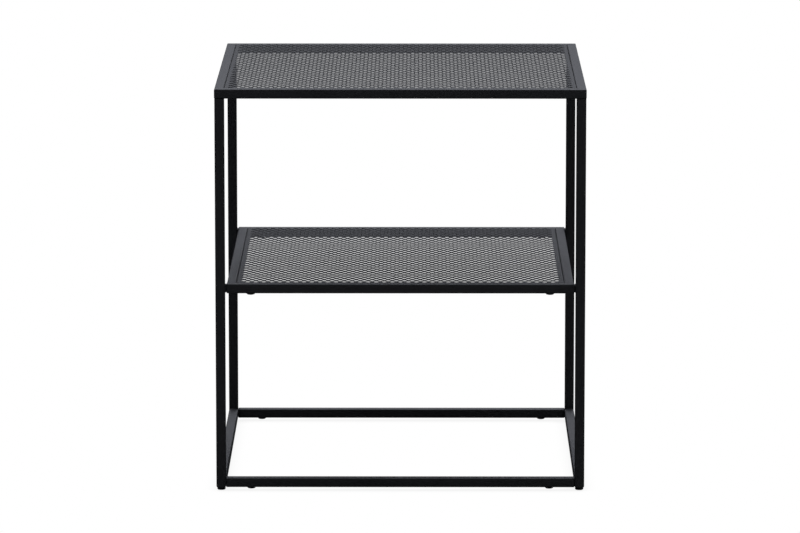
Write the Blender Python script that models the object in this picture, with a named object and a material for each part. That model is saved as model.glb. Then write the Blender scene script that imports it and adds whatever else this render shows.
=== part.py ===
"""Two-tier side table: a box frame of slim square steel tube with a sheet
metal top and a sheet metal middle shelf, all black.

Metres, +Z up. The origin is on the floor under the middle of the table.
-Y is the front and +X is the right-hand side seen from the front.

Two side frames, each of two legs mitred to a floor rail, carry short solid
stubs. The front and rear floor rails and the shelf slip over the stubs, the
top frame's spigots plug into the open leg tops, and button-head screws lock
every joint. Nothing on the table moves.
"""

import math

import bmesh
import bpy

# Overall size and levels
WIDTH = 0.460
DEPTH = 0.460
HEIGHT = 0.506
SHELF_TOP = 0.2615
FOOT_HEIGHT = 0.0045

# Square tube of every rail and leg
TUBE = 0.012
WALL = 0.001
TUBE_RADIUS = 0.0015
CORNER_STEPS = 3

# Clearances
FIT = 0.0003
LEG_SETBACK = 0.0003
SHELF_SIDE_GAP = 0.002
SHELF_SETBACK = 0.004
END_GAP = 0.0005

# Solid bars inside the joints
STUB = 0.0094
STUB_RADIUS = 0.0008
STUB_LENGTH = 0.045
SPIGOT_LENGTH = 0.040

# Sheet panels with a folded rim
SHEET = 0.0006
FOLD_RADIUS = 0.0007
FOLD_STEPS = 3
FLANGE = 0.009
PANEL_SIDE_GAP = 0.0004
PANEL_END_GAP = 0.001

# Low button-head screws
SCREW_FROM_LEG = 0.0317
TOP_SCREW_DROP = 0.020
SHANK_RADIUS = 0.003
SHANK_LENGTH = 0.0078
SHANK_CHAMFER = 0.0006
HEAD_RADIUS = 0.00525
HEAD_HEIGHT = 0.0018
HEAD_RIM = 0.0003
HEAD_FLAT_RADIUS = 0.0027
SOCKET_HALF_WIDTH = 0.002
SOCKET_DEPTH = 0.0016
DOME_STEPS = 3
SCREW_SEGMENTS = 18

# Round glides under the side frames
FOOT_RADIUS = 0.0052
FOOT_BOTTOM_RADIUS = 0.0040
FOOT_CHAMFER = 0.0012
STEM_RADIUS = 0.003
STEM_LENGTH = 0.0055
FOOT_FROM_FACE = 0.0097
FOOT_SEGMENTS = 24

HOLE_CLEARANCE = 0.0003
HOLE_SEGMENTS = 24
SMOOTH_ANGLE = math.radians(35)

# Places worked out from the sizes above
LEG_X = WIDTH / 2 - LEG_SETBACK - TUBE / 2
LEG_Y = DEPTH / 2 - LEG_SETBACK - TUBE / 2
LEG_FACE = LEG_X - TUBE / 2
LEG_TOP = HEIGHT - TUBE - FIT
BASE_LEVEL = FOOT_HEIGHT + TUBE / 2
SHELF_LEVEL = SHELF_TOP - TUBE / 2
TOP_LEVEL = HEIGHT - TUBE / 2
SHELF_HALF_WIDTH = LEG_FACE - SHELF_SIDE_GAP
SHELF_HALF_DEPTH = LEG_Y + TUBE / 2 - SHELF_SETBACK
SCREW_X = LEG_FACE - SCREW_FROM_LEG
FOOT_Y = LEG_Y + TUBE / 2 - FOOT_FROM_FACE
MITRE_RELIEF = FIT / math.sqrt(2)
SCREW_HOLE = SHANK_RADIUS + HOLE_CLEARANCE
FOOT_HOLE = STEM_RADIUS + HOLE_CLEARANCE
WALL_DRILLING = 3 * WALL
BAR_DRILLING = 2 * SHANK_LENGTH

SIDES = {"left": -1, "right": 1}
ENDS = {"front": -1, "rear": 1}

# Rotations that lay a piece modelled along X, outer face towards -Y
FACING_FRONT = (0, 0, 0)
FACING_REAR = (0, 0, math.pi)
FACING_SIDE = {"left": (0, 0, -math.pi / 2), "right": (0, 0, math.pi / 2)}
UPRIGHT = {"front": (0, -math.pi / 2, 0), "rear": (0, -math.pi / 2, math.pi)}
ALONG_DEPTH_FACING_DOWN = (math.pi / 2, 0, math.pi / 2)
SCREW_POINTING = {"up": (0, 0, 0), "front": (math.pi / 2, 0, 0), "rear": (-math.pi / 2, 0, 0)}

POWDER_COAT = {"colour": (0.012, 0.012, 0.013), "roughness": 0.5, "metallic": 0.0}
BLACK_SCREW = {"colour": (0.015, 0.015, 0.016), "roughness": 0.35, "metallic": 0.6}
BLACK_PLASTIC = {"colour": (0.010, 0.010, 0.010), "roughness": 0.6, "metallic": 0.0}


def clear_scene():
    for item in list(bpy.data.objects):
        bpy.data.objects.remove(item, do_unlink=True)


def own_material(name, finish):
    """A Principled material for one piece."""
    material = bpy.data.materials.new(name + "_finish")
    material.use_nodes = True
    shader = material.node_tree.nodes["Principled BSDF"]
    shader.inputs["Base Color"].default_value = (*finish["colour"], 1.0)
    shader.inputs["Roughness"].default_value = finish["roughness"]
    shader.inputs["Metallic"].default_value = finish["metallic"]
    return material


def add_piece(name, bm, parent, location, rotation, finish):
    """Turn a bmesh into a named, smooth-shaded object under its assembly."""
    bmesh.ops.recalc_face_normals(bm, faces=bm.faces)
    mesh = bpy.data.meshes.new(name)
    bm.to_mesh(mesh)
    bm.free()
    mesh.shade_smooth()
    mesh.set_sharp_from_angle(angle=SMOOTH_ANGLE)
    mesh.materials.append(own_material(name, finish))
    piece = bpy.data.objects.new(name, mesh)
    bpy.context.scene.collection.objects.link(piece)
    piece.parent = parent
    piece.location = location
    piece.rotation_euler = rotation
    return piece


def add_assembly(name, level):
    """An empty on the table's centre line that carries one sub-assembly."""
    empty = bpy.data.objects.new(name, None)
    bpy.context.scene.collection.objects.link(empty)
    empty.location = (0, 0, level)
    return empty


def rounded_square(size, radius):
    """Outline of a square with rounded corners, as (across, up) points."""
    reach = size / 2 - radius
    points = []
    for corner, (sign_y, sign_z) in enumerate(((1, 1), (-1, 1), (-1, -1), (1, -1))):
        for step in range(CORNER_STEPS + 1):
            angle = (corner + step / CORNER_STEPS) * math.pi / 2
            across = sign_y * reach + radius * math.cos(angle)
            up = sign_z * reach + radius * math.sin(angle)
            points.append((across, up))
    return points


def bridge(bm, ring, next_ring):
    """Quads between two rings with the same number of points."""
    count = len(ring)
    for index in range(count):
        following = (index + 1) % count
        bm.faces.new((ring[index], ring[following], next_ring[following], next_ring[index]))


def square_tube(low, high, low_mitred=False, high_mitred=False):
    """Open square tube along X from low to high. A mitred end keeps its full
    length on the outer face, at -Y, and runs back at 45 degrees."""
    bm = bmesh.new()

    def end_ring(outline, end, direction, mitred):
        ring = []
        for across, up in outline:
            setback = across + TUBE / 2 if mitred else 0.0
            ring.append(bm.verts.new((end - direction * setback, across, up)))
        return ring

    outer = rounded_square(TUBE, TUBE_RADIUS)
    inner = rounded_square(TUBE - 2 * WALL, TUBE_RADIUS - WALL)
    rings = [
        end_ring(outer, low, -1, low_mitred),
        end_ring(outer, high, 1, high_mitred),
        end_ring(inner, high, 1, high_mitred),
        end_ring(inner, low, -1, low_mitred),
    ]
    for index, ring in enumerate(rings):
        bridge(bm, ring, rings[(index + 1) % len(rings)])
    return bm


def solid_bar(length):
    """Solid square bar along X, centred, with eased long edges."""
    bm = bmesh.new()
    rings = []
    for end in (-length / 2, length / 2):
        outline = rounded_square(STUB, STUB_RADIUS)
        rings.append([bm.verts.new((end, across, up)) for across, up in outline])
    bridge(bm, rings[0], rings[1])
    bm.faces.new(rings[0])
    bm.faces.new(rings[1])
    return bm


def turned(rings, segments):
    """Closed solid about Z from (radius, height) rings. A radius may be a
    function of the angle."""
    bm = bmesh.new()
    loops = []
    for radius, height in rings:
        loop = []
        for index in range(segments):
            angle = 2 * math.pi * index / segments
            reach = radius(angle) if callable(radius) else radius
            loop.append(bm.verts.new((reach * math.cos(angle), reach * math.sin(angle), height)))
        loops.append(loop)
    for loop, next_loop in zip(loops, loops[1:]):
        bridge(bm, loop, next_loop)
    for loop, (_, height) in ((loops[0], rings[0]), (loops[-1], rings[-1])):
        centre = bm.verts.new((0, 0, height))
        for index in range(segments):
            bm.faces.new((centre, loop[index], loop[(index + 1) % segments]))
    return bm


def hexagon_radius(angle):
    """Distance from the centre to the side of the hexagonal socket."""
    sixth = math.pi / 3
    return SOCKET_HALF_WIDTH / math.cos((angle % sixth) - sixth / 2)


def button_screw():
    """Low-head screw along Z, seat at zero, shank pointing up."""
    rings = [
        (SHANK_RADIUS - SHANK_CHAMFER, SHANK_LENGTH),
        (SHANK_RADIUS, SHANK_LENGTH - SHANK_CHAMFER),
        (SHANK_RADIUS, 0),
        (HEAD_RADIUS, 0),
    ]
    for step in range(DOME_STEPS + 1):
        angle = step / DOME_STEPS * math.pi / 2
        radius = HEAD_FLAT_RADIUS + (HEAD_RADIUS - HEAD_FLAT_RADIUS) * math.cos(angle)
        height = HEAD_RIM + (HEAD_HEIGHT - HEAD_RIM) * math.sin(angle)
        rings.append((radius, -height))
    rings.append((hexagon_radius, -HEAD_HEIGHT))
    rings.append((hexagon_radius, SOCKET_DEPTH - HEAD_HEIGHT))
    return turned(rings, SCREW_SEGMENTS)


def glide():
    """Round foot along Z, standing on zero, with its stem pointing up."""
    seat = FOOT_HEIGHT - FIT
    rings = [
        (STEM_RADIUS, FOOT_HEIGHT + STEM_LENGTH),
        (STEM_RADIUS, seat),
        (FOOT_RADIUS, seat),
        (FOOT_RADIUS, FOOT_CHAMFER),
        (FOOT_BOTTOM_RADIUS, 0),
    ]
    return turned(rings, FOOT_SEGMENTS)


def folded_panel(bay_half_width, bay_half_depth):
    """Plain sheet at zero with its rim folded down all round, a little
    smaller than the bay between the rails that it lies in."""
    half_width = bay_half_width - PANEL_SIDE_GAP
    half_depth = bay_half_depth - PANEL_END_GAP
    bm = bmesh.new()
    outside = [(0, -FLANGE)]
    inside = [(SHEET, -FLANGE)]
    for step in range(FOLD_STEPS + 1):
        angle = step / FOLD_STEPS * math.pi / 2
        for path, radius in ((outside, FOLD_RADIUS), (inside, FOLD_RADIUS - SHEET)):
            inset = FOLD_RADIUS - radius * math.cos(angle)
            path.append((inset, radius * math.sin(angle) - FOLD_RADIUS))
    loops = []
    for inset, height in reversed(outside):
        loops.append((half_width - inset, half_depth - inset, height))
    for inset, height in inside:
        loops.append((half_width - inset, half_depth - inset, height))
    rings = []
    for x, y, z in loops:
        rings.append([bm.verts.new(point) for point in ((x, y, z), (-x, y, z), (-x, -y, z), (x, -y, z))])
    for ring, next_ring in zip(rings, rings[1:]):
        bridge(bm, ring, next_ring)
    bm.faces.new(rings[0])
    bm.faces.new(rings[-1])
    return bm


def drill(target, centre, axis, radius, depth):
    """Cut a round hole, centred on a point of the target's own frame."""
    bm = bmesh.new()
    bmesh.ops.create_cone(
        bm, cap_ends=True, segments=HOLE_SEGMENTS, radius1=radius, radius2=radius, depth=depth
    )
    mesh = bpy.data.meshes.new("hole_cutter")
    bm.to_mesh(mesh)
    bm.free()
    cutter = bpy.data.objects.new("hole_cutter", mesh)
    bpy.context.scene.collection.objects.link(cutter)
    cutter.parent = target
    cutter.location = centre
    cutter.rotation_euler = (math.pi / 2, 0, 0) if axis == "Y" else (0, 0, 0)
    cutter.display_type = "WIRE"
    cutter.hide_render = True
    cut = target.modifiers.new("hole", "BOOLEAN")
    cut.operation = "DIFFERENCE"
    cut.solver = "EXACT"
    cut.object = cutter


def drill_wall(tube, centre, axis, radius=SCREW_HOLE):
    drill(tube, centre, axis, radius, WALL_DRILLING)


def drill_bar(bar, centre, axis):
    """Blind hole, deep enough for a screw's shank."""
    drill(bar, centre, axis, SCREW_HOLE, BAR_DRILLING)


def build_top_frame():
    """Four mitred rails, the sheet between them and a spigot at each corner."""
    frame = add_assembly("top_frame", TOP_LEVEL)
    half_length = WIDTH / 2 - MITRE_RELIEF
    half_side = DEPTH / 2 - MITRE_RELIEF
    for end, sign in ENDS.items():
        rotation = FACING_FRONT if end == "front" else FACING_REAR
        place = (0, sign * (DEPTH / 2 - TUBE / 2), 0)
        rail = square_tube(-half_length, half_length, True, True)
        add_piece("top_rail_" + end, rail, frame, place, rotation, POWDER_COAT)
    for side, sign in SIDES.items():
        place = (sign * (WIDTH / 2 - TUBE / 2), 0, 0)
        rail = square_tube(-half_side, half_side, True, True)
        add_piece("top_rail_" + side, rail, frame, place, FACING_SIDE[side], POWDER_COAT)

    sheet = folded_panel(WIDTH / 2 - TUBE, DEPTH / 2 - TUBE)
    add_piece("top_panel", sheet, frame, (0, 0, TUBE / 2), FACING_FRONT, POWDER_COAT)

    spigot_level = -TUBE / 2 - FIT - SPIGOT_LENGTH / 2
    screw_on_spigot = LEG_TOP - TOP_SCREW_DROP - TOP_LEVEL - spigot_level
    for end, front_back in ENDS.items():
        for side, left_right in SIDES.items():
            place = (left_right * LEG_X, front_back * LEG_Y, spigot_level)
            name = "top_spigot_" + end + "_" + side
            spigot = add_piece(name, solid_bar(SPIGOT_LENGTH), frame, place, UPRIGHT[end], POWDER_COAT)
            drill_bar(spigot, (screw_on_spigot, STUB / 2, 0), "Y")


def build_side_frames():
    """Two legs and a floor rail on each side, with the stubs on the legs."""
    frames = add_assembly("side_frames", BASE_LEVEL)
    leg_low = -TUBE / 2 + MITRE_RELIEF
    leg_high = LEG_TOP - BASE_LEVEL
    rail_half = LEG_Y + TUBE / 2 - MITRE_RELIEF
    for side, left_right in SIDES.items():
        name = "base_rail_" + side
        tube = square_tube(-rail_half, rail_half, True, True)
        place = (left_right * LEG_X, 0, 0)
        rail = add_piece(name, tube, frames, place, ALONG_DEPTH_FACING_DOWN, POWDER_COAT)
        for front_back in ENDS.values():
            drill_wall(rail, (front_back * FOOT_Y, -TUBE / 2, 0), "Y", FOOT_HOLE)
        for end, front_back in ENDS.items():
            corner = end + "_" + side
            tube = square_tube(leg_low, leg_high, low_mitred=True)
            place = (left_right * LEG_X, front_back * LEG_Y, 0)
            leg = add_piece("leg_" + corner, tube, frames, place, UPRIGHT[end], POWDER_COAT)
            drill_wall(leg, (leg_high - TOP_SCREW_DROP, TUBE / 2, 0), "Y")
            add_stub("base_stub_" + corner, frames, left_right, front_back * LEG_Y, 0)
            shelf_y = SHELF_HALF_DEPTH - TUBE / 2
            shelf_level = SHELF_LEVEL - BASE_LEVEL
            add_stub("shelf_stub_" + corner, frames, left_right, front_back * shelf_y, shelf_level)
            place = (left_right * LEG_X, front_back * FOOT_Y, -BASE_LEVEL)
            add_piece("foot_" + corner, glide(), frames, place, FACING_FRONT, BLACK_PLASTIC)


def add_stub(name, parent, left_right, y, level):
    """Solid bar that stands off a leg's inner face, drilled from below."""
    centre = LEG_FACE - FIT - STUB_LENGTH / 2
    place = (left_right * centre, y, level)
    stub = add_piece(name, solid_bar(STUB_LENGTH), parent, place, FACING_FRONT, POWDER_COAT)
    drill_bar(stub, (left_right * (SCREW_X - centre), 0, -STUB / 2), "Z")


def drill_for_stubs(rail):
    """A screw hole near each end of a rail, in its lower wall."""
    for left_right in SIDES.values():
        drill_wall(rail, (left_right * SCREW_X, 0, -TUBE / 2), "Z")


def build_base_rails():
    """Front and rear floor rails, open ended, between the legs."""
    base = add_assembly("base_rails", BASE_LEVEL)
    half_length = LEG_FACE - END_GAP
    for end, front_back in ENDS.items():
        place = (0, front_back * LEG_Y, 0)
        tube = square_tube(-half_length, half_length)
        rail = add_piece("base_rail_" + end, tube, base, place, FACING_FRONT, POWDER_COAT)
        drill_for_stubs(rail)


def build_shelf():
    """Open-ended front and rear rails, side rails between them, one sheet."""
    shelf = add_assembly("shelf", SHELF_LEVEL)
    for end, front_back in ENDS.items():
        place = (0, front_back * (SHELF_HALF_DEPTH - TUBE / 2), 0)
        tube = square_tube(-SHELF_HALF_WIDTH, SHELF_HALF_WIDTH)
        rail = add_piece("shelf_rail_" + end, tube, shelf, place, FACING_FRONT, POWDER_COAT)
        drill_for_stubs(rail)
    half_side = SHELF_HALF_DEPTH - TUBE - FIT
    for side, left_right in SIDES.items():
        place = (left_right * (SHELF_HALF_WIDTH - TUBE / 2), 0, 0)
        tube = square_tube(-half_side, half_side)
        add_piece("shelf_rail_" + side, tube, shelf, place, FACING_SIDE[side], POWDER_COAT)
    sheet = folded_panel(SHELF_HALF_WIDTH - TUBE, SHELF_HALF_DEPTH - TUBE)
    add_piece("shelf_panel", sheet, shelf, (0, 0, TUBE / 2), FACING_FRONT, POWDER_COAT)


def build_screws():
    """One screw from below into each stub, one from inside into each spigot."""
    screws = add_assembly("screws", 0)
    rows = {
        "base": (LEG_Y, FOOT_HEIGHT),
        "shelf": (SHELF_HALF_DEPTH - TUBE / 2, SHELF_TOP - TUBE),
    }
    for end, front_back in ENDS.items():
        for side, left_right in SIDES.items():
            corner = end + "_" + side
            for row, (y, underside) in rows.items():
                place = (left_right * SCREW_X, front_back * y, underside - FIT)
                name = row + "_screw_" + corner
                add_piece(name, button_screw(), screws, place, SCREW_POINTING["up"], BLACK_SCREW)
            inner_face = LEG_Y - TUBE / 2 - FIT
            place = (left_right * LEG_X, front_back * inner_face, LEG_TOP - TOP_SCREW_DROP)
            name = "top_screw_" + corner
            add_piece(name, button_screw(), screws, place, SCREW_POINTING[end], BLACK_SCREW)


clear_scene()
build_top_frame()
build_side_frames()
build_base_rails()
build_shelf()
build_screws()
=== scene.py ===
"""Looks of the two-tier side table: perforated sheets, powder coat, weld
seams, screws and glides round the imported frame, with its floor, light and
camera. Metres, +Z up, front at -Y, as in the frame."""

import math

import bmesh
import bpy
from mathutils import Matrix, Vector
from mathutils.geometry import delaunay_2d_cdt


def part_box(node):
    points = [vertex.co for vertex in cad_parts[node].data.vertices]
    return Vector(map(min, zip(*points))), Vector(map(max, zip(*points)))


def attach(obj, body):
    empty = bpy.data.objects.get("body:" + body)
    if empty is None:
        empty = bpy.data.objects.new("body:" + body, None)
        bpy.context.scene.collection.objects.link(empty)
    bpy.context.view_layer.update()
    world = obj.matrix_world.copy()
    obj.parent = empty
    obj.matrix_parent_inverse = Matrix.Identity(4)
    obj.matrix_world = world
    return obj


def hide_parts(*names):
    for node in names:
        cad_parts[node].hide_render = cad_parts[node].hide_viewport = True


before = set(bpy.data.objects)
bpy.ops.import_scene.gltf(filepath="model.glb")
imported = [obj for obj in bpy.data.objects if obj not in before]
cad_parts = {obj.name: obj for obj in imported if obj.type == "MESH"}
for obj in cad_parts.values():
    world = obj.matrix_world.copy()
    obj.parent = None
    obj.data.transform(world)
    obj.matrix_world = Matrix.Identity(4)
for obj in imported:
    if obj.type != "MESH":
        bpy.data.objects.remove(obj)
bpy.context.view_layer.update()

SIDES = {"left": -1, "right": 1}
ENDS = {"front": -1, "rear": 1}
CORNERS = [end + "_" + side for end in ENDS for side in SIDES]
X_AXIS = Vector((1, 0, 0))
Y_AXIS = Vector((0, 1, 0))
Z_AXIS = Vector((0, 0, 1))
QUARTER_TURN = math.pi / 2

# Square tube and solid stubs, as the frame has them
TUBE = 0.012
TUBE_RADIUS = 0.0015
STUB = 0.0094
STUB_RADIUS = 0.0008
CORNER_STEPS = 3

# Gaps that the frame leaves between its solids, and the sliver that keeps
# two faces apart where a piece here closes such a gap
FIT = 0.0003
CONTACT = 0.00002

# Perforated sheets. A margin is the least distance from a sheet's edge to the
# centre of a hole, and two points closer than SAME_POINT are one
SHEET = 0.0006
FOLD_RADIUS = 0.0007
FOLD_STEPS = 4
HOLE_PITCH = 0.010
HOLE_RADIUS = 0.0035
HOLE_SIDES = 20
SIDE_MARGIN = 0.007
END_MARGIN = 0.0045
SAME_POINT = 1e-7

SHARP_FROM = math.radians(32)


# ---------------------------------------------------------------- materials

# Scale of the slow changes in cycles per metre, scale of the orange peel beside
# the grain's, and how far tone and gloss stray
CLOUD_SCALE = 14.0
PEEL_PER_GRAIN = 1 / 5
TONE_RANGE = (0.86, 1.14)
SPECK_RANGE = (0.9, 1.25)
GLOSS_SPREAD = 0.05


def node(tree, kind, **settings):
    """Add a shader node and set its properties or, by name, its inputs."""
    made = tree.nodes.new(kind)
    for name, value in settings.items():
        if hasattr(made, name):
            setattr(made, name, value)
        else:
            made.inputs[name.replace("_", " ")].default_value = value
    return made


def spread(tree, source, low, high, **settings):
    """Map a shader value to the range from low to high."""
    mapped = node(tree, "ShaderNodeMapRange", To_Min=low, To_Max=high, **settings)
    tree.links.new(source, mapped.inputs["Value"])
    return mapped.outputs["Result"]


def multiplied(tree, first, second):
    product = node(tree, "ShaderNodeMath", operation="MULTIPLY")
    tree.links.new(first, product.inputs[0])
    tree.links.new(second, product.inputs[1])
    return product.outputs["Value"]


def powder_coat(name, colour, roughness, grain, depth, gloss_level=0.5):
    """Fine-grained powder coat: a bump of small grains over a softer orange
    peel, with slight changes of tone and gloss over the length of a tube."""
    material = bpy.data.materials.new(name)
    material.use_nodes = True
    tree = material.node_tree
    shader = tree.nodes["Principled BSDF"]
    shader.inputs["Specular IOR Level"].default_value = gloss_level
    place = node(tree, "ShaderNodeTexCoord")

    grains = node(tree, "ShaderNodeTexNoise", Scale=grain, Detail=3.0, Roughness=0.6)
    peel = node(tree, "ShaderNodeTexNoise", Scale=grain * PEEL_PER_GRAIN, Detail=2.0, Roughness=0.5)
    clouds = node(tree, "ShaderNodeTexNoise", Scale=CLOUD_SCALE, Detail=4.0, Roughness=0.55)
    for noise in (grains, peel, clouds):
        tree.links.new(place.outputs["Object"], noise.inputs["Vector"])

    tone = spread(tree, clouds.outputs["Fac"], *TONE_RANGE)
    speck = spread(tree, grains.outputs["Fac"], *SPECK_RANGE, From_Min=0.35, From_Max=0.75)
    paint = node(tree, "ShaderNodeVectorMath", operation="SCALE")
    paint.inputs[0].default_value = colour
    tree.links.new(multiplied(tree, tone, speck), paint.inputs["Scale"])
    tree.links.new(paint.outputs["Vector"], shader.inputs["Base Color"])

    gloss = spread(tree, clouds.outputs["Fac"], roughness - GLOSS_SPREAD, roughness + GLOSS_SPREAD)
    tree.links.new(gloss, shader.inputs["Roughness"])

    soft = node(tree, "ShaderNodeBump", Strength=0.35, Distance=depth * 2)
    tree.links.new(peel.outputs["Fac"], soft.inputs["Height"])
    fine = node(tree, "ShaderNodeBump", Strength=0.5, Distance=depth)
    tree.links.new(grains.outputs["Fac"], fine.inputs["Height"])
    tree.links.new(soft.outputs["Normal"], fine.inputs["Normal"])
    tree.links.new(fine.outputs["Normal"], shader.inputs["Normal"])
    return material


def moulded_plastic(name):
    """Matt black plastic with a fine spark-eroded texture."""
    return powder_coat(name, (0.006, 0.006, 0.006), roughness=0.62, grain=2600.0, depth=0.00004)


def blackened_screw(name):
    """Black-oxide steel with a satin sheen and a very fine grain."""
    material = powder_coat(name, (0.008, 0.008, 0.0085), roughness=0.38, grain=3200.0, depth=0.00001)
    material.node_tree.nodes["Principled BSDF"].inputs["Metallic"].default_value = 0.35
    return material


FRAME_BLACK = (0.0056, 0.0055, 0.0056)
SHEET_BLACK = (0.0050, 0.0049, 0.0050)
COAT_GRAIN = 1900.0
COAT_DEPTH = 0.00003
FRAME_COAT = powder_coat("frame_powder_coat", FRAME_BLACK, 0.55, COAT_GRAIN, COAT_DEPTH)
SHEET_COAT = powder_coat("sheet_powder_coat", SHEET_BLACK, 0.57, COAT_GRAIN, COAT_DEPTH, gloss_level=0.38)
WELD_COAT = powder_coat("weld_powder_coat", FRAME_BLACK, 0.52, grain=1400.0, depth=0.00005)
SCREW_BLACK = blackened_screw("screw_black_oxide")
GLIDE_PLASTIC = moulded_plastic("glide_plastic")


# ------------------------------------------------------------------- meshes

def add_piece(name, mesh, material, slot_name, *replaced):
    """Link a finished mesh, shade it smooth by angle and hang it on the table."""
    mesh.shade_smooth()
    mesh.set_sharp_from_angle(angle=SHARP_FROM)
    mesh.materials.clear()
    mesh.materials.append(material)
    piece = bpy.data.objects.new(name, mesh)
    bpy.context.scene.collection.objects.link(piece)
    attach(piece, "root")
    if replaced:
        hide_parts(*replaced)


def mesh_from(name, points, faces):
    """A mesh with every face turned outwards."""
    mesh = bpy.data.meshes.new(name)
    mesh.from_pydata(points, [], faces)
    bm = bmesh.new()
    bm.from_mesh(mesh)
    bmesh.ops.recalc_face_normals(bm, faces=bm.faces)
    bm.to_mesh(mesh)
    bm.free()
    return mesh


def band(ring, next_ring):
    """Quads between two closed rings of point numbers."""
    faces = []
    for index in range(len(ring)):
        following = (index + 1) % len(ring)
        faces.append((ring[index], ring[following], next_ring[following], next_ring[index]))
    return faces


def capped_rings(name, rings):
    """Closed solid through rings that all have the same number of points."""
    count = len(rings[0])
    points = [point for ring in rings for point in ring]
    numbers = [list(range(first, first + count)) for first in range(0, len(points), count)]
    faces = []
    for ring, next_ring in zip(numbers, numbers[1:]):
        faces += band(ring, next_ring)
    faces.append(tuple(numbers[0]))
    faces.append(tuple(numbers[-1]))
    return mesh_from(name, points, faces)


def turned(name, profile, sides):
    """Closed solid about Z from a profile of (radius, height); a radius can be
    a function of the angle."""
    rings = []
    for radius, height in profile:
        ring = []
        for index in range(sides):
            angle = 2 * math.pi * index / sides
            reach = radius(angle) if callable(radius) else radius
            ring.append((reach * math.cos(angle), reach * math.sin(angle), height))
        rings.append(ring)
    return capped_rings(name, rings)


# -------------------------------------------------------- perforated sheets

def hole_centres(half_width, half_depth, front_row_is_wide):
    """Rows along X, the next row shifted by half a pitch, centred on the sheet."""
    row_pitch = HOLE_PITCH * math.sqrt(3) / 2
    wide_count = math.floor(2 * (half_width - SIDE_MARGIN) / HOLE_PITCH) + 1
    row_count = math.floor(2 * (half_depth - END_MARGIN) / row_pitch) + 1
    centres = []
    for row in range(row_count):
        is_wide = (row % 2 == 0) == front_row_is_wide
        count = wide_count if is_wide else wide_count - 1
        y = (row - (row_count - 1) / 2) * row_pitch
        for column in range(count):
            centres.append(((column - (count - 1) / 2) * HOLE_PITCH, y))
    return centres


def cut_plan(outline, centres):
    """A flat outline with round holes cut out of it: its points, its triangles,
    and each loop as numbers of points, the outline's loop first."""
    plan = list(outline)
    loops = [list(range(len(outline)))]
    for x, y in centres:
        first = len(plan)
        for index in range(HOLE_SIDES):
            angle = 2 * math.pi * index / HOLE_SIDES
            plan.append(Vector((x + HOLE_RADIUS * math.cos(angle), y + HOLE_RADIUS * math.sin(angle))))
        loops.append(list(range(first, len(plan))))
    result = delaunay_2d_cdt(plan, [], loops, 0, SAME_POINT, True)
    points, triangles, sources = result[0], result[2], result[3]
    place_of = {source: index for index, group in enumerate(sources) for source in group}
    loops = [[place_of[source] for source in loop] for loop in loops]
    loop_of = {place: number for number, loop in enumerate(loops) for place in loop}
    # A triangle with all its corners on one hole's outline lies inside that hole
    kept = [
        triangle for triangle in triangles
        if len({loop_of[corner] for corner in triangle}) > 1 or loop_of[triangle[0]] == 0
    ]
    return points, kept, loops


def rim_profile(flange):
    """Section of the folded rim as (out, down) points from the flat's edge:
    down its outer side and up again on its inner side."""
    paths = []
    for radius in (FOLD_RADIUS, FOLD_RADIUS - SHEET):
        path = []
        for step in range(1, FOLD_STEPS + 1):
            angle = step / FOLD_STEPS * QUARTER_TURN
            path.append((radius * math.sin(angle), FOLD_RADIUS - radius * math.cos(angle)))
        path.append((radius, flange))
        paths.append(path)
    outer, inner = paths
    return outer + inner[::-1]


def perforated_sheet(name, half_width, half_depth, top, flange, front_row_is_wide):
    """Sheet with every hole cut through it and its rim folded down."""
    flat_x = half_width - FOLD_RADIUS
    flat_y = half_depth - FOLD_RADIUS
    signs = ((1, 1), (-1, 1), (-1, -1), (1, -1))
    outline = [Vector((sign_x * flat_x, sign_y * flat_y)) for sign_x, sign_y in signs]
    centres = hole_centres(half_width, half_depth, front_row_is_wide)
    flat_points, triangles, loops = cut_plan(outline, centres)

    count = len(flat_points)
    points = [(p.x, p.y, top) for p in flat_points]
    points += [(p.x, p.y, top - SHEET) for p in flat_points]
    faces = [tuple(triangle) for triangle in triangles]
    faces += [tuple(count + corner for corner in reversed(triangle)) for triangle in triangles]
    for loop in loops[1:]:
        faces += band(loop, [count + place for place in loop])

    rings = [loops[0]]
    for out, down in rim_profile(flange):
        rings.append(list(range(len(points), len(points) + len(outline))))
        for corner in outline:
            x = corner.x + math.copysign(out, corner.x)
            y = corner.y + math.copysign(out, corner.y)
            points.append((x, y, top - down))
    rings.append([count + place for place in loops[0]])
    for ring, next_ring in zip(rings, rings[1:]):
        faces += band(ring, next_ring)
    return mesh_from(name, points, faces)


def add_sheets():
    for node_name, front_row_is_wide in (("top_panel", True), ("shelf_panel", False)):
        low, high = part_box(node_name)
        name = node_name + "_perforated"
        flange = high.z - low.z
        mesh = perforated_sheet(name, high.x, high.y, high.z, flange, front_row_is_wide)
        add_piece(name, mesh, SHEET_COAT, "sheet_coat", node_name)


# ------------------------------------------------------- screws and glides

SCREW_SIDES = 36
HEAD_RADIUS = 0.00525
HEAD_HEIGHT = 0.0018
HEAD_RIM = 0.0003
HEAD_FLAT_RADIUS = 0.0027
SHANK_RADIUS = 0.003
SHANK_CHAMFER = 0.0006
SOCKET_HALF_WIDTH = 0.002
SOCKET_DEPTH = 0.0016
BROKEN_EDGE = 0.0002
DOME_STEPS = 9

GLIDE_SIDES = 48
STEM_RADIUS = 0.003
STEM_CHAMFER = 0.0005
SEAT_CHAMFER = 0.0003
SOLE_RADIUS = 0.0040
SOLE_ROUND = 0.0014
SOLE_STEPS = 4
DIMPLE_RADIUS = 0.0022
DIMPLE_FLOOR_RADIUS = 0.0018
DIMPLE_DEPTH = 0.0003


def hexagon(half_width):
    """Distance from the centre to a hexagon's side, as a function of angle."""
    sixth = math.pi / 3

    def reach(angle):
        return half_width / math.cos((angle % sixth) - sixth / 2)

    return reach


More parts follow.
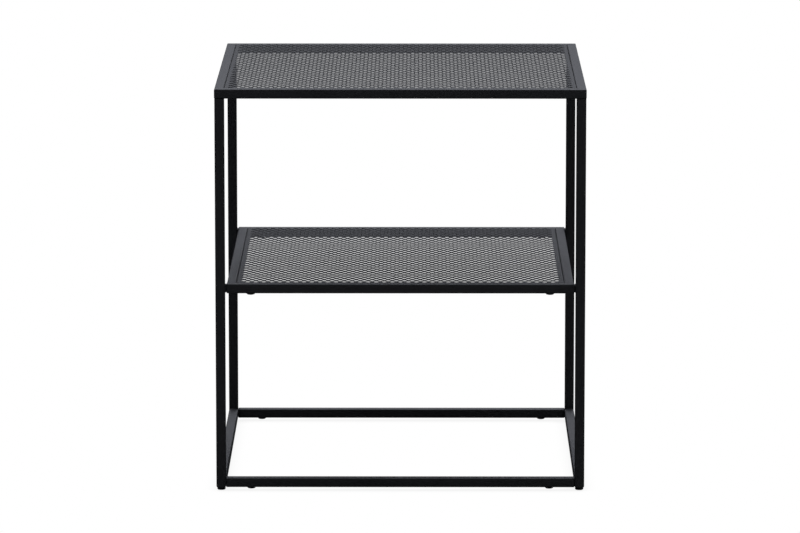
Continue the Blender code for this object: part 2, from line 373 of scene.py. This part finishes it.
def button_screw(name, shank_length):
    """Low button-head screw on Z, shank upwards, socket below. Its node's seat
    is at zero, and the head's upper face closes the gap above it."""
    seat = FIT - CONTACT
    profile = [(SHANK_RADIUS - SHANK_CHAMFER, shank_length), (SHANK_RADIUS, shank_length - SHANK_CHAMFER)]
    profile += [(SHANK_RADIUS, seat), (HEAD_RADIUS - BROKEN_EDGE, seat), (HEAD_RADIUS, seat - BROKEN_EDGE)]
    for step in range(DOME_STEPS + 1):
        angle = step / DOME_STEPS * QUARTER_TURN
        radius = HEAD_FLAT_RADIUS + (HEAD_RADIUS - HEAD_FLAT_RADIUS) * math.cos(angle)
        profile.append((radius, -HEAD_RIM - (HEAD_HEIGHT - HEAD_RIM) * math.sin(angle)))
    profile.append((hexagon(SOCKET_HALF_WIDTH + BROKEN_EDGE), -HEAD_HEIGHT))
    profile.append((hexagon(SOCKET_HALF_WIDTH), -HEAD_HEIGHT + BROKEN_EDGE))
    profile.append((hexagon(SOCKET_HALF_WIDTH), -HEAD_HEIGHT + SOCKET_DEPTH))
    return turned(name, profile, SCREW_SIDES)


def screw_place(row, corner, low, high):
    """Length of a screw's node, and the place and turn of its seat. The seat is
    one head height inside the box, on the side that the head looks to: down, or
    for the top row towards the middle of the table."""
    centre = (low + high) / 2
    if row != "top":
        return high.z - low.z, Matrix.Translation((centre.x, centre.y, low.z + HEAD_HEIGHT))
    outward = ENDS[corner.split("_")[0]]
    head_y = high.y if outward < 0 else low.y
    seat = Matrix.Translation((centre.x, head_y + outward * HEAD_HEIGHT, centre.z))
    return high.y - low.y, seat @ Matrix.Rotation(-outward * QUARTER_TURN, 4, "X")


def add_screws():
    for row in ("base", "shelf", "top"):
        for corner in CORNERS:
            node_name = row + "_screw_" + corner
            name = node_name + "_finished"
            length, place = screw_place(row, corner, *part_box(node_name))
            mesh = button_screw(name, length - HEAD_HEIGHT)
            mesh.transform(place)
            add_piece(name, mesh, SCREW_BLACK, "screw_black", node_name)


def glide(name, radius, seat, stem_top):
    """Moulded glide: stem, flat seat, rounded rim and a chamfered sole with a
    shallow dimple."""
    profile = [(STEM_RADIUS - STEM_CHAMFER, stem_top), (STEM_RADIUS, stem_top - STEM_CHAMFER)]
    profile += [(STEM_RADIUS, seat), (radius - SEAT_CHAMFER, seat), (radius, seat - SEAT_CHAMFER)]
    for step in range(SOLE_STEPS + 1):
        angle = step / SOLE_STEPS * QUARTER_TURN
        reach = SOLE_RADIUS + (radius - SOLE_RADIUS) * math.cos(angle)
        profile.append((reach, SOLE_ROUND * (1 - math.sin(angle))))
    profile += [(DIMPLE_RADIUS, 0.0), (DIMPLE_FLOOR_RADIUS, DIMPLE_DEPTH)]
    return turned(name, profile, GLIDE_SIDES)


def add_glides():
    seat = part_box("base_rail_left")[0].z - CONTACT
    for corner in CORNERS:
        node_name = "foot_" + corner
        name = node_name + "_moulded"
        low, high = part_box(node_name)
        mesh = glide(name, (high.x - low.x) / 2, seat, high.z)
        mesh.transform(Matrix.Translation(((low.x + high.x) / 2, (low.y + high.y) / 2, 0)))
        add_piece(name, mesh, GLIDE_PLASTIC, "glide_plastic", node_name)


# ------------------------------------------------------------------- welds

# A bead's sections stand at these shares of its run. It tapers over an eighth
# of the run at either end, where it has a quarter of its size
BEAD_SIZE = 0.0011
BEAD_STEPS = 5
BEAD_STATIONS = (0.0, 0.04, 0.12, 0.5, 0.88, 0.96, 1.0)
TAPER_SHARE = 1 / 8
BEAD_END_SHARE = 0.25

# An upright bead stops well below the upper face: this share of the way from
# the middle of the tube to its upper radius
UPRIGHT_BEAD_TOP = 0.2

# Collars round the stubs: length along the stub and height above it
COLLARS = {"shelf": (0.0014, 0.0008), "base": (0.00046, 0.0011)}
COLLAR_END = 0.0008
SIDE_STEPS = 14


def rounded_square(size, radius, steps):
    """Outline of a square with rounded corners, as (across, up) points."""
    reach = size / 2 - radius
    points = []
    for corner, (sign_y, sign_z) in enumerate(((1, 1), (-1, 1), (-1, -1), (1, -1))):
        for step in range(steps + 1):
            angle = (corner + step / steps) * QUARTER_TURN
            across = sign_y * reach + radius * math.cos(angle)
            points.append((across, sign_z * reach + radius * math.sin(angle)))
    return points


def mitre_fill(name, corner, along, beside, up):
    """Weld between two mitred tubes whose centre lines meet at a corner and
    run off along and beside. It is ground flush with both tubes."""
    middle = []
    for across, rise in rounded_square(TUBE, TUBE_RADIUS, CORNER_STEPS):
        middle.append(corner + across * (along + beside) + rise * up)
    relief = FIT / math.sqrt(2)
    rings = [[p + relief * along for p in middle], middle, [p + relief * beside for p in middle]]
    return capped_rings(name, rings)


def butt_fill(name, end, along):
    """Weld between a side rail's end and the rounded edge of the rail it meets."""
    outline = rounded_square(TUBE - 2 * CONTACT, TUBE_RADIUS, CORNER_STEPS)
    rings = []
    for distance in (0, FIT + TUBE_RADIUS):
        place = end + distance * along
        rings.append([place + across * X_AXIS + rise * Z_AXIS for across, rise in outline])
    return capped_rings(name, rings)


def stub_outline():
    """Points round a stub's section, each with its outward direction. The flat
    sides have points of their own, so that a weld can end half way along them."""
    reach = STUB / 2 - STUB_RADIUS
    centres = [Vector((y * reach, z * reach)) for y, z in ((1, 1), (-1, 1), (-1, -1), (1, -1))]
    outline = []
    for corner, centre in enumerate(centres):
        for step in range(CORNER_STEPS + 1):
            angle = (corner + step / CORNER_STEPS) * QUARTER_TURN
            out = Vector((math.cos(angle), math.sin(angle)))
            outline.append((centre + STUB_RADIUS * out, out))
        next_centre = centres[(corner + 1) % 4]
        for step in range(1, SIDE_STEPS):
            place = centre.lerp(next_centre, step / SIDE_STEPS)
            outline.append((place + STUB_RADIUS * out, out))
    return outline


def root_collar(name, root, along, size, flat_low, flat_high):
    """Fillet weld round a square stub where it stands on a leg. It ends where
    the stub passes the leg's flat face, which is between flat_low and flat_high."""
    length, height = size
    rings = []
    for step in range(BEAD_STEPS + 1):
        share = step / BEAD_STEPS
        swell = height * (1 - math.sin(share * QUARTER_TURN))
        ring = []
        for place, out in stub_outline():
            across = root.y + place.x
            past = max(flat_low - across, across - flat_high, 0.0)
            fade = max(0.0, 1 - past / COLLAR_END)
            point = place + (CONTACT + swell * fade) * out
            ring.append(root + share * length * along + point.x * Y_AXIS + point.y * Z_AXIS)
        rings.append(ring)
    return capped_rings(name, rings)


def corner_bead(name, start, end, toward_a, toward_b):
    """Concave fillet bead in the inner corner between two tubes, from start to
    end. It tapers away at both ends like a real run of weld."""
    rings = []
    for share in BEAD_STATIONS:
        fullness = min(1.0, min(share, 1 - share) / TAPER_SHARE)
        size = BEAD_SIZE * (BEAD_END_SHARE + (1 - BEAD_END_SHARE) * fullness)
        place = start.lerp(end, share)
        ring = [place - CONTACT * (toward_a + toward_b)]
        for step in range(BEAD_STEPS + 1):
            angle = step / BEAD_STEPS * QUARTER_TURN
            reach_a = size * (1 - math.sin(angle))
            reach_b = size * (1 - math.cos(angle))
            ring.append(place + reach_a * toward_a + reach_b * toward_b)
        rings.append(ring)
    return capped_rings(name, rings)


def upright_bead(name, inner_corner, in_x, in_y):
    """Bead in an upright inner corner of a ring of rails."""
    rise = (TUBE / 2 - TUBE_RADIUS) * Z_AXIS
    start = inner_corner - rise
    end = inner_corner + UPRIGHT_BEAD_TOP * rise
    add_piece(name, corner_bead(name, start, end, in_x, in_y), WELD_COAT, "frame_coat")


def weld_top_frame(corner, in_x, in_y):
    """Mitre and bead of the top frame, whose outer faces are those of its side
    rails and of its front rail."""
    low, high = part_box("top_rail_front")
    reach_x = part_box("top_rail_right")[1].x - TUBE / 2
    reach_y = -low.y - TUBE / 2
    place = (low.z + high.z) / 2 * Z_AXIS - reach_x * in_x - reach_y * in_y
    name = "top_weld_" + corner
    add_piece(name, mitre_fill(name, place, in_x, in_y, Z_AXIS), FRAME_COAT, "frame_coat")
    upright_bead("top_bead_" + corner, place + TUBE / 2 * (in_x + in_y), in_x, in_y)


def weld_side_frame(corner, leg, in_y):
    """Mitre and bead at a leg's foot. The leg is the middle of its box."""
    low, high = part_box("base_rail_left")
    place = Vector((leg.x, leg.y, (low.z + high.z) / 2))
    name = "foot_weld_" + corner
    add_piece(name, mitre_fill(name, place, in_y, Z_AXIS, X_AXIS), FRAME_COAT, "frame_coat")
    inner = place + TUBE / 2 * (in_y + Z_AXIS)
    reach = (TUBE / 2 - TUBE_RADIUS) * X_AXIS
    name = "foot_bead_" + corner
    add_piece(name, corner_bead(name, inner - reach, inner + reach, in_y, Z_AXIS), WELD_COAT, "frame_coat")


def weld_shelf_frame(corner, side, in_x, in_y):
    """Butt weld and bead between a side rail's end and the rail across it."""
    low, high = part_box("shelf_rail_" + side)
    rail_end = (low + high) / 2 - (high.y - low.y) / 2 * in_y
    name = "shelf_weld_" + corner
    add_piece(name, butt_fill(name, rail_end, -in_y), FRAME_COAT, "frame_coat")
    upright_bead("shelf_bead_" + corner, rail_end + TUBE / 2 * in_x - FIT * in_y, in_x, in_y)


def weld_stubs(corner, leg_low, leg_high, in_x):
    """Collars where the shelf's and the floor loop's stubs stand on a leg."""
    leg_face = (leg_low.x + leg_high.x + TUBE * in_x.x) / 2
    flat_low = leg_low.y + TUBE_RADIUS / 2
    flat_high = leg_high.y - TUBE_RADIUS / 2
    for row, size in COLLARS.items():
        low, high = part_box(row + "_stub_" + corner)
        middle = (low + high) / 2
        root = Vector((leg_face, middle.y, middle.z)) + CONTACT * in_x
        name = row + "_stub_weld_" + corner
        mesh = root_collar(name, root, in_x, size, flat_low, flat_high)
        add_piece(name, mesh, WELD_COAT, "frame_coat")


def add_welds():
    """Welds of the top frame, the two side frames and the shelf frame."""
    for end, front_back in ENDS.items():
        for side, left_right in SIDES.items():
            corner = end + "_" + side
            in_x = -left_right * X_AXIS
            in_y = -front_back * Y_AXIS
            leg_low, leg_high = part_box("leg_" + corner)
            weld_top_frame(corner, in_x, in_y)
            weld_side_frame(corner, (leg_low + leg_high) / 2, in_y)
            weld_shelf_frame(corner, side, in_x, in_y)
            weld_stubs(corner, leg_low, leg_high, in_x)


# ------------------------------------------------------ CAD nodes that stay

KEPT_NODES = ("top_rail", "top_spigot", "leg_", "base_rail", "base_stub", "shelf_stub", "shelf_rail")
FACET_MERGE = 0.00001
SPLIT_FROM = math.radians(35)


def finish_frame_nodes():
    """Coat every tube, stub and spigot, and shade their faceted radii smooth."""
    for name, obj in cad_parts.items():
        if not name.startswith(KEPT_NODES):
            continue
        obj.data.materials.clear()
        obj.data.materials.append(FRAME_COAT)
        weld = obj.modifiers.new("merge_facets", "WELD")
        weld.merge_threshold = FACET_MERGE
        smooth = obj.modifiers.new("smooth_by_angle", "EDGE_SPLIT")
        smooth.split_angle = SPLIT_FROM
        flats = obj.modifiers.new("flat_sides", "WEIGHTED_NORMAL")
        flats.mode = "FACE_AREA"
        obj.data.shade_smooth()


# ------------------------------------------------- floor, light and camera

FLOOR_REACH = 40.0
FLOOR_WHITE = (0.9, 0.9, 0.9, 1)
FLOOR_ROUGHNESS = 0.9
CONTACT_REACH = 0.02
CONTACT_SHADE = 0.86

# Studio light along each axis of a direction: where its smooth step starts and
# ends, and the strength or share at the start and at the end
SKY_BY_HEIGHT = (0.42, 0.72, 0.04, 3.9)
SHARE_BY_DEPTH = (-0.6, 0.4, 0.25, 1.0)
SHARE_BY_WIDTH = (-0.8, 0.8, 0.85, 1.15)
SKY_TINT = (0.87, 0.90, 1.0, 1)
WHITE = (1, 1, 1, 1)

CAMERA_PLACE = (0.021, -6.639, 1.358)
CAMERA_DIP = math.radians(9.51)
CAMERA_TURN = math.radians(0.191)
LENS_MM = 235.77
SENSOR_MM = 36.0
VIEW_REACH = 100.0


def ramp(tree, source, start, end, low, high):
    """Smooth step of a shader value from low at start to high at end."""
    settings = {"interpolation_type": "SMOOTHSTEP", "From_Min": start, "From_Max": end}
    return spread(tree, source, low, high, **settings)


def floor_material():
    """Matt white that bounces light as any floor does, while the camera sees
    plain white with a faint contact shade close to the glides."""
    material = bpy.data.materials.new("pale_floor")
    material.use_nodes = True
    tree = material.node_tree
    matt = tree.nodes["Principled BSDF"]
    matt.inputs["Base Color"].default_value = FLOOR_WHITE
    matt.inputs["Roughness"].default_value = FLOOR_ROUGHNESS
    matt.inputs["Specular IOR Level"].default_value = 0.0
    contact = node(tree, "ShaderNodeAmbientOcclusion", Distance=CONTACT_REACH)
    shade = ramp(tree, contact.outputs["AO"], 0.0, 1.0, CONTACT_SHADE, 1.0)
    white = node(tree, "ShaderNodeEmission")
    tree.links.new(shade, white.inputs["Strength"])
    path = node(tree, "ShaderNodeLightPath")
    seen = node(tree, "ShaderNodeMixShader")
    tree.links.new(path.outputs["Is Camera Ray"], seen.inputs[0])
    tree.links.new(matt.outputs["BSDF"], seen.inputs[1])
    tree.links.new(white.outputs["Emission"], seen.inputs[2])
    tree.links.new(seen.outputs["Shader"], tree.nodes["Material Output"].inputs["Surface"])
    return material


def add_floor():
    mesh = bpy.data.meshes.new("floor")
    corners = [(x * FLOOR_REACH, y * FLOOR_REACH, 0) for x, y in ((-1, -1), (1, -1), (1, 1), (-1, 1))]
    mesh.from_pydata(corners, [], [(0, 1, 2, 3)])
    mesh.materials.append(floor_material())
    floor = bpy.data.objects.new("floor", mesh)
    bpy.context.scene.collection.objects.link(floor)
    floor.visible_glossy = False


def add_light():
    """A white room whose light comes from above and behind: dark up to about
    25 degrees over the horizon, full above 45, dim towards the front and a
    little stronger on the right. The camera itself sees plain white."""
    world = bpy.data.worlds.new("studio")
    bpy.context.scene.world = world
    world.use_nodes = True
    tree = world.node_tree
    background = tree.nodes["Background"]
    place = node(tree, "ShaderNodeTexCoord")
    parts = node(tree, "ShaderNodeSeparateXYZ")
    tree.links.new(place.outputs["Generated"], parts.inputs["Vector"])
    height = ramp(tree, parts.outputs["Z"], *SKY_BY_HEIGHT)
    depth = ramp(tree, parts.outputs["Y"], *SHARE_BY_DEPTH)
    width = ramp(tree, parts.outputs["X"], *SHARE_BY_WIDTH)
    strength = multiplied(tree, multiplied(tree, height, depth), width)
    path = node(tree, "ShaderNodeLightPath")
    seen = node(tree, "ShaderNodeMix", data_type="FLOAT")
    tree.links.new(path.outputs["Is Camera Ray"], seen.inputs[0])
    tree.links.new(strength, seen.inputs[2])
    seen.inputs[3].default_value = 1.0
    tree.links.new(seen.outputs[0], background.inputs["Strength"])
    tint = node(tree, "ShaderNodeMix", data_type="RGBA")
    tree.links.new(path.outputs["Is Camera Ray"], tint.inputs[0])
    tint.inputs[6].default_value = SKY_TINT
    tint.inputs[7].default_value = WHITE
    tree.links.new(tint.outputs[2], background.inputs["Color"])


def add_camera():
    lens = bpy.data.cameras.new("camera")
    lens.sensor_width = SENSOR_MM
    lens.lens = LENS_MM
    lens.clip_end = VIEW_REACH
    camera = bpy.data.objects.new("camera", lens)
    bpy.context.scene.collection.objects.link(camera)
    camera.location = CAMERA_PLACE
    camera.rotation_euler = (QUARTER_TURN - CAMERA_DIP, 0, CAMERA_TURN)
    bpy.context.scene.camera = camera


bpy.context.scene.view_settings.view_transform = "Standard"
finish_frame_nodes()
add_sheets()
add_screws()
add_glides()
add_welds()
add_floor()
add_light()
add_camera()
